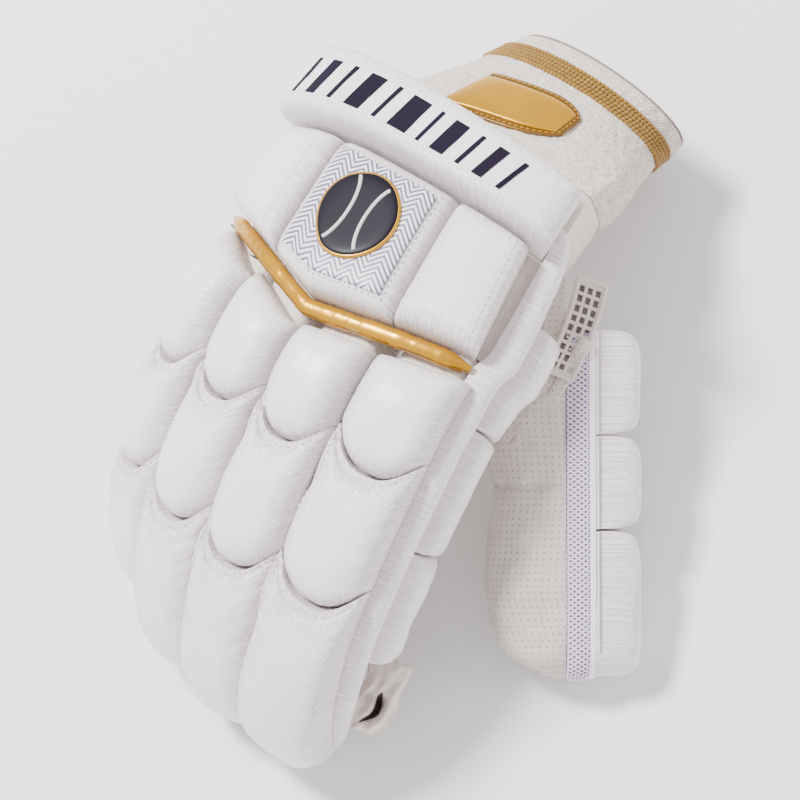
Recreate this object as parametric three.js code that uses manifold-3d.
// Cricket batting glove for a right hand, lying palm down as it rests by itself. Millimetres, +Z up.
// The glove is built in the hand's own axes: X towards the thumb side, Y towards the wrist and Z out of
// the back of the hand, with the origin on the leather over the knuckles. A group then lays it on the floor.
import * as THREE from 'three';
import { mergeVertices } from 'three/addons/utils/BufferGeometryUtils.js';
import Module from 'manifold-3d';

const wasm = await Module();
wasm.setup();

// Driving dimensions.
const seamGap = 0.4; // between two sewn pieces that touch
const leatherWall = 2;
const knitWall = 3;

const hand = {
  halfWidth: 61, // of the leather over the knuckles
  wristLittleSide: 50, // half width at the wrist on each side
  wristThumbSide: 59,
  depth: 34, // back to palm at the knuckles
  wristDepth: 60,
  littleDrop: 14, // how far the back falls to its little finger edge
  thumbDrop: 11, // and to its thumb edge
  length: 78, // knuckles to wristband
  skew: 0.1, // the padding's seams lie nearer the fingertips on the thumb side, per width
};

const wristband = {
  rimHalfWidth: 41,
  rimHalfDepth: 28,
  length: 60,
  lean: 18, // of the rim towards the thumb side
  sink: 21, // of the rim below the wrist
  skew: 0.13, // the rim's thumb side lies nearer the hand, per width
  stripeWidth: 9,
  stripeInset: 8, // from the rim
  stripeThickness: 1,
};

const plates = { height: 18, gap: 1.4, littleEdge: 61, thumbEdge: 57, thumbEdgeAtWrist: 52 };
const plateSplits = [-0.5, 0.45]; // the centre plate's edges, as shares of the plates' reach

const badge = { thickness: 1.2, relief: 2 };

const roll = { start: 51.5, length: 32, thumbEndLength: 25, height: 27, littleEnd: 60, thumbEnd: 57 };

const piping = { radius: 4, dip: 14, apex: -9, littleReach: 67, thumbReach: 57, littleEnd: 7 };

const rollGap = 0.9;
const rollHeight = 15;
const lobeDepth = 13; // how far a finger roll's rounded end runs past its corners
const stall = { depth: 28, tipDepth: 23, taper: 0.85 };
const rollTaper = 0.9;

// One row for each finger, from the little finger. Width is that of its rolls, stall the half width of
// its leather. Length runs from the knuckles to the stall's end, and the rolls end at shares of it. Tilt
// turns the finger's back to one side, splay its direction, both in degrees.
const fingerTable = [
  { name: 'little', width: 27, stall: 11.3, length: 153, tilt: -18, splay: -9.5, firstRoll: 0.33, secondRoll: 0.6 },
  { name: 'ring', width: 30, stall: 12.6, length: 176, tilt: -5, splay: -3.9, firstRoll: 0.32, secondRoll: 0.59 },
  { name: 'middle', width: 31, stall: 13, length: 187, tilt: 1, splay: -2, firstRoll: 0.32, secondRoll: 0.59 },
  { name: 'index', width: 37, stall: 14, length: 191, tilt: 9, splay: 1.5, firstRoll: 0.3, secondRoll: 0.57 },
];

// One row for each place where a finger bends: the place and the run as shares of its length.
const bendTable = [
  { at: 0.14, run: 0.16, degrees: 18 },
  { at: 0.36, run: 0.2, degrees: 9 },
  { at: 0.62, run: 0.2, degrees: 27 },
  { at: 0.82, run: 0.2, degrees: 22 },
];

const thumb = {
  base: [67.5, 46, -56], // top end of the seam between the padding and the mesh
  length: 135,
  halfWidth: 18,
  depth: 40,
  meshWidth: 11,
  padHeight: 18,
};
const thumbAlong = new THREE.Vector3(0.405, -0.852, -0.461).normalize();
const thumbAcross = thumbAlong.clone().cross(new THREE.Vector3(0.76, 0.542, -0.241)).normalize();
const thumbNail = thumbAcross.clone().cross(thumbAlong);
const vent = { length: 40, width: 13, slant: 24, place: 0, below: 14, reach: 40, columns: 7, hole: 3 };
const thumbRolls = [0, 0.3, 0.57, 1]; // where its rolls begin and end, as shares of its length

const sideStrip = { start: -60, width: 11, height: 18 };
const sideRolls = [-0.13, 0.12, 0.41, 0.69]; // the rolls beside the index finger, as shares of its length
const sideRoll = { top: 12, bottom: 28, height: 15 };
const tipFold = { top: 9, bottom: 21, height: 6, start: 0.7, end: 0.92 };

const strap = { littleEnd: -0.35, thumbEnd: 0.55, middle: 19, rise: 6, width: 26, thickness: 2.5, straight: 0.55 };

// Leans in degrees as it lies, and how deep the lowest places are pressed flat.
const rest = { pitch: 6.6, roll: -12.9, press: 1.2 };

// Colours of the leathers, the mesh and the knit.
const finish = (color, roughness) => new THREE.MeshStandardMaterial({ color, roughness, metalness: 0 });
const whiteLeather = finish(0xf3f1f1, 0.42);
const palmLeather = finish(0xd9d0c8, 0.7);
const whiteMesh = finish(0xd9cfdc, 0.8);
const knit = finish(0xe6ddd6, 0.95);
const goldKnit = finish(0xc08a1e, 0.9);
const goldLeather = finish(0xdba02a, 0.35);
const badgeCloth = finish(0xc9c6d0, 0.5);
const darkRubber = finish(0x2c2233, 0.35);

const rad = THREE.MathUtils.degToRad;
const { clamp, smoothstep, lerp } = THREE.MathUtils;
const power = (x, p) => Math.sign(x) * Math.abs(x) ** p;

const glove = new THREE.Group();

function addPiece(name, geometry, material) {
  const mesh = new THREE.Mesh(geometry, material);
  mesh.name = name;
  glove.add(mesh);
}

// A closed body from points and triangles, turned so that its faces point out.
function closedBody(points, faces) {
  let volume = 0;
  for (let i = 0; i < faces.length; i += 3) {
    const [a, b, c] = [points[faces[i]], points[faces[i + 1]], points[faces[i + 2]]];
    volume += a.dot(b.clone().cross(c));
  }
  if (volume < 0) faces.reverse();
  const geometry = new THREE.BufferGeometry().setFromPoints(points);
  geometry.setIndex(faces);
  return geometry;
}

// Rings of equal count, each a list of points, joined into one closed body with flat ends.
function loft(rings) {
  const n = rings[0].length;
  const points = rings.flat();
  const faces = [];
  for (let r = 0; r + 1 < rings.length; r++) {
    for (let i = 0; i < n; i++) {
      const a = r * n + i;
      const b = r * n + ((i + 1) % n);
      faces.push(a, b, b + n, a, b + n, a + n);
    }
  }
  for (const [first, turn] of [[0, true], [(rings.length - 1) * n, false]]) {
    const middle = new THREE.Vector3();
    for (let i = 0; i < n; i++) middle.addScaledVector(points[first + i], 1 / n);
    points.push(middle);
    for (let i = 0; i < n; i++) {
      const [a, b] = [first + i, first + ((i + 1) % n)];
      faces.push(...(turn ? [b, a, points.length - 1] : [a, b, points.length - 1]));
    }
  }
  return closedBody(points, faces);
}

// A pillow: two sheets over the same square of parameters, sewn together along the rim. The place of a
// point comes from its two parameters and its height in the sheet.
function pillow(place, nu, nt, topHeight, underHeight) {
  const points = [];
  const faces = [];
  const spread = (k, n) => (1 - Math.cos((Math.PI * k) / n)) / 2;
  for (let i = 0; i <= nu; i++) {
    for (let j = 0; j <= nt; j++) {
      const [u, t] = [spread(i, nu), spread(j, nt)];
      points.push(place(u, t, topHeight(u, t)));
    }
  }
  for (let i = 1; i < nu; i++) {
    for (let j = 1; j < nt; j++) points.push(place(spread(i, nu), spread(j, nt), underHeight));
  }
  const onRim = (i, j) => i === 0 || j === 0 || i === nu || j === nt;
  const top = (i, j) => i * (nt + 1) + j;
  const under = (i, j) => (onRim(i, j) ? top(i, j) : (nu + 1) * (nt + 1) + (i - 1) * (nt - 1) + j - 1);
  for (let i = 0; i < nu; i++) {
    for (let j = 0; j < nt; j++) {
      const [a, b, c, d] = [top(i, j), top(i + 1, j), top(i + 1, j + 1), top(i, j + 1)];
      faces.push(a, b, c, a, c, d);
      const [e, f, g, h] = [under(i, j), under(i + 1, j), under(i + 1, j + 1), under(i, j + 1)];
      faces.push(e, g, f, e, h, g);
    }
  }
  return closedBody(points, faces);
}

// Height over a pillow: nought at the rim, steep at the sides and nearly level in the middle.
function dome(u, t, fullness) {
  const edge = (x) => (1 - Math.abs(2 * x - 1) ** fullness) ** (1 / fullness);
  return edge(u) * edge(t);
}

function solidOf(geometry) {
  const bare = geometry.clone();
  bare.deleteAttribute('normal');
  bare.deleteAttribute('uv');
  const merged = mergeVertices(bare, 1e-4);
  const vertProperties = merged.attributes.position.array;
  const triVerts = new Uint32Array(merged.index.array);
  return new wasm.Manifold(new wasm.Mesh({ numProp: 3, vertProperties, triVerts }));
}

function geometryOf(solid) {
  const { vertProperties, triVerts } = solid.getMesh();
  const geometry = new THREE.BufferGeometry();
  geometry.setAttribute('position', new THREE.BufferAttribute(new Float32Array(vertProperties), 3));
  geometry.setIndex(new THREE.BufferAttribute(new Uint32Array(triVerts), 1));
  return geometry;
}

// A flat closed outline moved inwards by a distance, or outwards where it is negative.
function inset(outline, distance) {
  const n = outline.length;
  const turn = outline.reduce((sum, p, i) => sum + p.cross(outline[(i + 1) % n]), 0);
  return outline.map((p, i) => {
    const before = p.clone().sub(outline[(i + n - 1) % n]).normalize();
    const after = outline[(i + 1) % n].clone().sub(p).normalize();
    const normal = new THREE.Vector2(-before.y - after.y, before.x + after.x).normalize();
    const slant = Math.max(0.6, normal.dot(new THREE.Vector2(-after.y, after.x)));
    return p.clone().addScaledVector(normal, (Math.sign(turn) * distance) / slant);
  });
}

// The back of the hand: how far it falls at a share of the half width.
const backDrop = (share) => (share < 0 ? -hand.littleDrop : -hand.thumbDrop) * Math.abs(share) ** 3;

const handHalfWidth = (y, side) => {
  const wrist = side < 0 ? hand.wristLittleSide : hand.wristThumbSide;
  return lerp(hand.halfWidth, wrist, smoothstep(y, 5, hand.length));
};

// A point over the back: x across and y along, both on the leather, and its height above it.
function onBack(x, y, height) {
  const half = handHalfWidth(y, x);
  const step = 0.01;
  const slope = (backDrop(x / half + step) - backDrop(x / half - step)) / (2 * step * half);
  const normal = new THREE.Vector3(-slope, 0, 1).normalize();
  return new THREE.Vector3(x, y, backDrop(x / half)).addScaledVector(normal, height);
}

// Outline of the hand's leather at a place along it: the back from the little finger side, then the palm.
const outlineSteps = 8;
function handOutline(y) {
  const depth = lerp(hand.depth, hand.wristDepth, smoothstep(y, 0, hand.length));
  const outline = [];
  for (let i = 0; i <= outlineSteps; i++) {
    const share = -Math.cos((i / outlineSteps) * Math.PI);
    outline.push(new THREE.Vector2(share * handHalfWidth(y, share), backDrop(share)));
  }
  for (let i = 1; i < outlineSteps; i++) {
    const share = Math.cos((i / outlineSteps) * Math.PI);
    const edge = lerp(backDrop(-1), backDrop(1), (share + 1) / 2);
    const round = (1 - Math.abs(share) ** 3) ** (1 / 3);
    outline.push(new THREE.Vector2(share * handHalfWidth(y, share), lerp(edge, -depth, round)));
  }
  return outline;
}

// The middle of a finger's rolls across the hand.
function fingerX(finger) {
  const widths = fingerTable.map(({ width }) => width);
  const before = widths.slice(0, fingerTable.indexOf(finger)).reduce((sum, width) => sum + width, 0);
  const all = widths.reduce((sum, width) => sum + width, 0);
  return before + finger.width / 2 - all / 2;
}

// A finger's path along the back of its stall. A place is across, along and above that path.
function fingerPath(finger) {
  const tilt = rad(finger.tilt);
  const splay = rad(finger.splay);
  const up = new THREE.Vector3(Math.sin(tilt), 0, Math.cos(tilt));
  const across = new THREE.Vector3(Math.cos(tilt), 0, -Math.sin(tilt));
  const ahead = new THREE.Vector3(0, -Math.cos(splay), 0).addScaledVector(across, Math.sin(splay));
  const side = new THREE.Vector3().crossVectors(up, ahead);
  const pitchAt = (s) => bendTable.reduce((sum, { at, run, degrees }) => {
    const [from, to] = [(at - run / 2) * finger.length, (at + run / 2) * finger.length];
    return sum + rad(degrees) * smoothstep(s, from, to);
  }, 0);
  const tangentAt = (s) => ahead.clone().multiplyScalar(Math.cos(pitchAt(s)))
    .addScaledVector(up, -Math.sin(pitchAt(s)));
  const points = [onBack(fingerX(finger), 0, 0)];
  for (let s = 0; s < finger.length * 1.2; s++) {
    points.push(points[s].clone().add(tangentAt(s + 0.5)));
  }
  return (v, s, height) => {
    const whole = clamp(Math.floor(s), 0, points.length - 1);
    const normal = up.clone().multiplyScalar(Math.cos(pitchAt(s))).addScaledVector(ahead, Math.sin(pitchAt(s)));
    return points[whole].clone().addScaledVector(tangentAt(s), s - whole)
      .addScaledVector(side, v).addScaledVector(normal, height);
  };
}

// Outline of a finger's stall at a share of its length, flatter on the back than below.
function stallOutline(finger, share) {
  const endRound = share < 0.9 ? 1 : lerp(1, 0.7, (share - 0.9) / 0.1);
  const half = finger.stall * lerp(1, stall.taper, share) * endRound;
  const depth = lerp(stall.depth, stall.tipDepth, share) * lerp(1, endRound, 0.6);
  const sides = 18;
  return Array.from({ length: sides }, (_, i) => {
    const a = (i / sides) * Math.PI * 2;
    const p = Math.sin(a) > 0 ? 0.4 : 0.85;
    return new THREE.Vector2(half * power(Math.cos(a), p), (depth / 2) * (power(Math.sin(a), p) - 1));
  });
}

const stallStations = [0, 0.13, 0.26, 0.4, 0.54, 0.68, 0.82, 0.93, 1];
function stallBody(finger, wall, overrun) {
  const place = fingerPath(finger);
  const rings = stallStations.map((share, i) => {
    const ends = [seamGap - overrun, finger.length - wall];
    const s = i === 0 ? ends[0] : Math.min(share * finger.length, ends[1]);
    return inset(stallOutline(finger, share), wall).map((p) => place(p.x, s, p.y));
  });
  return solidOf(loft(rings));
}

// Cuts the space round the finger stalls out of a solid.
const clearOfFingers = (solid) => fingerTable.reduce(
  (rest, finger) => rest.subtract(stallBody(finger, -seamGap, seamGap)), solid);

function fingerStall(finger) {
  return geometryOf(stallBody(finger, 0, 0).subtract(stallBody(finger, leatherWall, 1)));
}

// A seam across the back runs askew. The piping dips in its groove, and its little finger end lies back.
const askew = (x, y) => y - hand.skew * x;
function pipingY(x) {
  const toLittle = x < piping.apex;
  const reach = toLittle ? piping.littleReach + piping.apex : piping.thumbReach - piping.apex;
  const share = Math.abs(x - piping.apex) / reach;
  return askew(x, (toLittle ? piping.littleEnd : 0) * share - piping.dip * (1 - share ** 1.15));
}

// A padded roll over a finger between two rounded seams, numbered from the knuckles.
function fingerRoll(finger, number) {
  const place = fingerPath(finger);
  const half = (finger.width - rollGap) / 2;
  const seams = [null, finger.firstRoll, finger.secondRoll, 1];
  const lobe = (v) => lobeDepth * Math.abs(v) ** 2.4;
  const start = (v) => {
    if (number > 0) return seams[number] * finger.length - lobe(v) + rollGap;
    return piping.radius + 3 * rollGap - pipingY(fingerX(finger) + (v * finger.width) / 2);
  };
  const last = number === 2;
  const end = (v) => (last ? finger.length + 3 - 0.8 * lobe(v) : seams[number + 1] * finger.length - lobe(v));
  const taper = (s) => lerp(1, rollTaper, clamp(s / finger.length, 0, 1));
  const top = (u, t) => seamGap + rollHeight * dome(u, t, 2.8);
  return pillow((u, t, height) => {
    const v = 2 * u - 1;
    const s = lerp(start(v), end(v), t);
    return place(v * half * taper(s), s, height);
  }, 7, last ? 9 : 6, top, seamGap);
}

const rollNames = ['knuckle_roll', 'middle_roll', 'tip_roll'];
for (const finger of fingerTable) {
  addPiece(`${finger.name}_stall`, fingerStall(finger), palmLeather);
  rollNames.forEach((name, i) => addPiece(`${finger.name}_${name}`, fingerRoll(finger, i), whiteLeather));
}

// Padded plates over the back, between the piping and the wrist roll.
const plateTop = (u, t) => seamGap + plates.height * dome(u, t, 6);
const plateEdge = (share, y) => {
  const thumbEdge = lerp(plates.thumbEdge, plates.thumbEdgeAtWrist, y / roll.start);
  return share < 0 ? share * plates.littleEdge : share * thumbEdge;
};
function onPlate(from, to, u, t, height) {
  const back = roll.start - plates.gap;
  const split = (y) => lerp(plateEdge(from, y) + plates.gap / 2, plateEdge(to, y) - plates.gap / 2, u);
  const front = pipingY(split(0)) + piping.radius + seamGap;
  const y = lerp(front, askew(split(back), back), t);
  return onBack(split(y), y, height);
}
const plateNames = ['little_side_plate', 'centre_plate', 'index_side_plate'];
const plateEdges = [-1, ...plateSplits, 1];
plateNames.forEach((name, i) => {
  const place = (u, t, height) => onPlate(plateEdges[i], plateEdges[i + 1], u, t, height);
  const plate = solidOf(pillow(place, 6, 6, plateTop, seamGap));
  addPiece(name, geometryOf(clearOfFingers(plate)), whiteLeather);
});

// Printed badge on the centre plate, with a raised rubber emblem.
function badgeSkin(borderU, borderT, lift, thickness) {
  const place = (u, t, height) => {
    const [pu, pt] = [lerp(borderU, 1 - borderU, u), lerp(borderT, 1 - borderT, t)];
    return onPlate(...plateSplits, pu, pt, plateTop(pu, pt) + height);
  };
  return pillow(place, 5, 5, (u, t) => lift + thickness * dome(u, t, 8), lift);
}
addPiece('badge_panel', badgeSkin(0.09, 0.09, seamGap, badge.thickness), badgeCloth);
addPiece('badge_emblem', badgeSkin(0.29, 0.25, badge.thickness + 2 * seamGap, badge.relief), darkRubber);

// Padded roll over the wrist.
function wristRoll() {
  const place = (u, t, height) => {
    const x = lerp(-roll.littleEnd, roll.thumbEnd, u);
    return onBack(x, askew(x, roll.start + lerp(roll.length, roll.thumbEndLength, u) * t), height);
  };
  return pillow(place, 10, 6, (u, t) => rollGap + roll.height * dome(u, t, 7), rollGap);
}
addPiece('wrist_roll', wristRoll(), whiteLeather);

// Gold piping in the groove before the plates, with flattened ends.
function goldPiping() {
  const steps = 14;
  const rings = [];
  for (let k = 0; k <= steps; k++) {
    const x = lerp(-piping.littleReach, piping.thumbReach, k / steps);
    const radius = piping.radius * lerp(0.45, 1, smoothstep(Math.min(k, steps - k) / steps, 0, 0.12));
    const ring = [];
    for (let i = 0; i < 8; i++) {
      const a = (i / 8) * Math.PI * 2;
      ring.push(onBack(x, pipingY(x) + radius * Math.cos(a), seamGap + piping.radius + radius * Math.sin(a)));
    }
    rings.push(ring);
  }
  return loft(rings);
}
addPiece('gold_piping', goldPiping(), goldLeather);

// The thumb's own axes: along to its tip, out of its nail and across.
function onThumb(v, s, height) {
  return new THREE.Vector3(...thumb.base).addScaledVector(thumbAlong, s)
    .addScaledVector(thumbAcross, v).addScaledVector(thumbNail, height);
}

// Sections of the thumb's stall: place along it, the top and bottom of the section below the padding's
// seam, and the half width, as shares of the thumb's length, depth and half width.
const thumbSections = [
  { at: -0.25, top: 0.3, bottom: 0.9, wide: 0.6 },
  { at: -0.1, top: 0.04, bottom: 0.96, wide: 0.92 },
  { at: 0, top: 0, bottom: 1, wide: 1 },
  { at: 0.25, top: 0, bottom: 1.02, wide: 1 },
  { at: 0.48, top: 0, bottom: 0.96, wide: 0.95 },
  { at: 0.75, top: 0, bottom: 1.06, wide: 0.92 },
  { at: 0.9, top: 0, bottom: 0.94, wide: 0.8 },
  { at: 0.97, top: 0.02, bottom: 0.72, wide: 0.62 },
];
function thumbBody(wall) {
  const sides = 20;
  const rings = thumbSections.map(({ at, top, bottom, wide }, k) => {
    const half = (thumb.depth * (bottom - top)) / 2;
    const outline = Array.from({ length: sides }, (_, i) => {
      const a = (i / sides) * Math.PI * 2;
      const p = Math.sin(a) > 0 ? 0.5 : 0.8;
      return new THREE.Vector2(thumb.halfWidth * wide * power(Math.cos(a), p), half * (power(Math.sin(a), p) - 1));
    });
    const ends = { 0: wall, [thumbSections.length - 1]: -wall };
    const s = at * thumb.length + (ends[k] ?? 0);
    return inset(outline, wall).map((p) => onThumb(p.x, s, p.y - top * thumb.depth));
  });
  return solidOf(loft(rings));
}
const thumbSlab = (low, high) => {
  const reach = 4 * thumb.length;
  const slab = new THREE.BoxGeometry(reach, reach, high - low);
  const frame = new THREE.Matrix4().makeBasis(thumbAcross, thumbAlong, thumbNail);
  frame.setPosition(onThumb(0, 0, (low + high) / 2));
  return solidOf(slab.applyMatrix4(frame));
};

// The hand's leather: a tube from the knuckles to the wristband, closed between the fingers.
const handRings = (from, to, wall) => Array.from({ length: 7 }, (_, k) => {
  const y = lerp(from, to, k / 6);
  return inset(handOutline(clamp(y, 0, hand.length)), wall).map((p) => new THREE.Vector3(p.x, y, p.y));
});
const handSolid = solidOf(loft(handRings(0, hand.length, 0)));
const handHollow = solidOf(loft(handRings(leatherWall, hand.length + 1, leatherWall)));
const handClear = solidOf(loft(handRings(-seamGap, hand.length + seamGap, -seamGap)));

let handLeather = clearOfFingers(handSolid.subtract(handHollow).subtract(thumbBody(-seamGap)));
for (const finger of fingerTable) {
  handLeather = handLeather.subtract(stallBody(finger, leatherWall, 2 * leatherWall));
}
addPiece('hand_leather', geometryOf(handLeather), palmLeather);

// The thumb's stall is perforated leather below, mesh along the sides and plain leather under the rolls.
// A vent panel with two rows of cut holes crosses its root on the side that faces up.
function ventBox(length, width, s, height) {
  const box = new THREE.BoxGeometry(vent.reach, length, width);
  const frame = new THREE.Matrix4().makeBasis(thumbAcross, thumbAlong, thumbNail);
  const turn = new THREE.Matrix4().makeTranslation(0, vent.place, -vent.below)
    .multiply(new THREE.Matrix4().makeRotationX(rad(vent.slant)))
    .multiply(new THREE.Matrix4().makeTranslation(thumbUpSide * vent.reach / 2, s, height));
  return solidOf(box.applyMatrix4(frame.setPosition(...thumb.base).multiply(turn)));
}
const thumbUpSide = Math.sign(thumbAcross.z);
const thumbShell = thumbBody(0).subtract(thumbBody(leatherWall)).subtract(handClear);
const ventClear = ventBox(vent.length + 2 * seamGap, vent.width + 2 * seamGap, 0, 0);
const far = 2 * thumb.depth;
const largest = (solid) => solid.decompose().reduce((a, b) => (a.volume() > b.volume() ? a : b));
const thumbPart = (low, high) =>
  geometryOf(largest(thumbShell.intersect(thumbSlab(low, high)).subtract(ventClear)));
addPiece('thumb_palm_leather', thumbPart(-far, -thumb.meshWidth), palmLeather);
addPiece('thumb_mesh', thumbPart(seamGap - thumb.meshWidth, -leatherWall - seamGap), whiteMesh);
addPiece('thumb_back_leather', thumbPart(-leatherWall, far), whiteLeather);

let ventPanel = thumbShell.intersect(ventBox(vent.length, vent.width, 0, 0));
for (let i = 0; i < vent.columns; i++) {
  for (const row of [-0.5, 0.5]) {
    const s = (i - (vent.columns - 1) / 2) * (vent.length / (vent.columns + 1));
    ventPanel = ventPanel.subtract(ventBox(vent.hole, vent.hole, s, row * vent.width / 2.4));
  }
}
addPiece('vent_panel', geometryOf(largest(ventPanel)), whiteLeather);

function thumbRoll(from, to, last) {
  const place = (u, t, height) => {
    const v = 2 * u - 1;
    const end = last ? to - 12 * Math.abs(v) ** 2.4 : to;
    const s = lerp(from, end, t);
    return onThumb(v * thumb.halfWidth * lerp(1, 0.84, s / thumb.length), s, height);
  };
  return pillow(place, 6, 6, (u, t) => seamGap + thumb.padHeight * dome(u, t, 4.5), seamGap);
}
['thumb_base_roll', 'thumb_middle_roll', 'thumb_tip_roll'].forEach((name, i) => {
  const [from, to] = [thumbRolls[i] * thumb.length + rollGap, thumbRolls[i + 1] * thumb.length];
  addPiece(name, thumbRoll(from, to, i === 2), whiteLeather);
});

// Knitted wristband: its outline runs from the hand's own to an oval rim.
function bandOutline(share, grow) {
  const start = handOutline(hand.length);
  const half = start.length / 2;
  return inset(start.map((p, i) => {
    const a = Math.PI * (1 - i / half);
    const rim = new THREE.Vector2(wristband.rimHalfWidth * Math.cos(a), wristband.rimHalfDepth * Math.sin(a));
    rim.y -= hand.wristDepth / 2;
    return p.clone().lerp(rim, smoothstep(share, 0, 0.9));
  }), -grow);
}
function onBand(p, share) {
  const y = hand.length + seamGap + wristband.length * share - wristband.skew * p.x * share;
  return new THREE.Vector3(p.x + wristband.lean * share, y, p.y - wristband.sink * share);
}
function bandTube(from, to, steps, low, high) {
  const shares = Array.from({ length: steps + 1 }, (_, k) => lerp(from, to, k / steps));
  const ring = (share, outlineShare, grow) => bandOutline(outlineShare, grow).map((p) => onBand(p, share));
  const outer = loft(shares.map((share) => ring(share, share, high)));
  const over = 1 / wristband.length;
  const reach = [from - over, ...shares.slice(1, -1), to + over];
  const inner = loft(reach.map((share, k) => ring(share, shares[k], low)));
  return geometryOf(solidOf(outer).subtract(solidOf(inner)));
}
addPiece('wristband', bandTube(0, 1, 5, -knitWall, 0), knit);
const stripeEnd = 1 - wristband.stripeInset / wristband.length;
const stripeStart = stripeEnd - wristband.stripeWidth / wristband.length;
addPiece('wristband_stripe',
  bandTube(stripeStart, stripeEnd, 1, 2 * seamGap, 2 * seamGap + wristband.stripeThickness), goldKnit);

// Side strip and side rolls along the thumb side of the index finger. The strip runs back onto the hand.
const index = fingerTable[3];
const onIndex = fingerPath(index);
const indexX = fingerX(index);
function besideIndex(s, below, out) {
  const share = clamp(s / index.length, 0, 1);
  const half = index.stall * lerp(1, stall.taper, share);
  const overHand = (handHalfWidth(-s, 1) - indexX) / Math.cos(rad(index.tilt));
  const edge = lerp(overHand, half, smoothstep(s, -4, 6));
  return onIndex(edge + seamGap + out, s, -below);
}
function stripBeside() {
  const place = (u, t, height) => {
    const s = lerp(sideStrip.start, index.length - 2, t);
    return besideIndex(s, lerp(0, sideStrip.width, u), height);
  };
  return pillow(place, 4, 14, (u, t) => sideStrip.height * dome(u, t, 2.6), 0);
}
addPiece('side_strip', geometryOf(solidOf(stripBeside()).subtract(handClear)), whiteLeather);
for (let i = 0; i < 3; i++) {
  const place = (u, t, height) => {
    const s = lerp(sideRolls[i] * index.length + rollGap, sideRolls[i + 1] * index.length, t);
    return besideIndex(s, lerp(sideRoll.top, sideRoll.bottom, u), height);
  };
  const body = solidOf(pillow(place, 4, 6, (u, t) => sideRoll.height * dome(u, t, 3), 0));
  addPiece(`side_roll_${i + 1}`, geometryOf(body.subtract(handClear)), whiteLeather);
}

// Leather fold at the end of the index finger's side.
function tipFoldPiece() {
  const place = (u, t, height) => {
    const s = lerp(tipFold.start, tipFold.end, t) * index.length;
    return besideIndex(s, lerp(sideStrip.width + rollGap, tipFold.bottom, u), height);
  };
  return pillow(place, 4, 4, (u, t) => tipFold.height * dome(u, t, 3), 0);
}
addPiece('index_tip_fold', tipFoldPiece(), palmLeather);

// Closing strap over the back of the wristband, with a rounded tip on the thumb side.
function onBandBack(across, share, height) {
  const place = (c) => {
    const wrist = new THREE.Vector2(c * handHalfWidth(hand.length, c), backDrop(c));
    const rim = new THREE.Vector2(c * wristband.rimHalfWidth, wristband.rimHalfDepth * Math.sqrt(1 - c * c));
    rim.y -= hand.wristDepth / 2;
    return wrist.lerp(rim, smoothstep(share, 0, 0.9));
  };
  const step = 0.01;
  const along = place(across + step).sub(place(across - step)).normalize();
  return onBand(place(across).add(new THREE.Vector2(-along.y, along.x).multiplyScalar(height)), share);
}
function closingStrap() {
  const place = (u, t, height) => {
    const across = lerp(strap.littleEnd, strap.thumbEnd, u);
    const nearTip = clamp((u - strap.straight) / (1 - strap.straight), 0, 0.999);
    const half = (strap.width / 2) * Math.sqrt(1 - nearTip ** 2.6 * 0.8);
    const middle = strap.middle + strap.rise * u;
    return onBandBack(across, (middle + half * (2 * t - 1)) / wristband.length, height);
  };
  return pillow(place, 7, 5, (u, t) => seamGap + strap.thickness * dome(u, t, 8), seamGap);
}
addPiece('closing_strap', closingStrap(), goldLeather);

// Lay the glove on the floor with the origin below its middle, and press flat what rests on it.
const lying = new THREE.Group();
lying.add(glove);
lying.rotation.set(rad(-rest.pitch), rad(rest.roll), 0);
const reach = new THREE.Box3().setFromObject(lying, true);
const middle = reach.getCenter(new THREE.Vector3());
lying.position.set(-middle.x, -middle.y, -reach.min.z - rest.press);
lying.updateMatrixWorld(true);
const floorSize = 1000;
const floorBox = new THREE.BoxGeometry(floorSize, floorSize, floorSize).translate(0, 0, -floorSize / 2);
const floor = solidOf(floorBox.applyMatrix4(lying.matrixWorld.clone().invert()));
for (const mesh of glove.children) {
  const lowest = new THREE.Box3().setFromObject(mesh, true).min.z;
  if (lowest < 0) mesh.geometry = geometryOf(solidOf(mesh.geometry).subtract(floor));
}
export default lying;
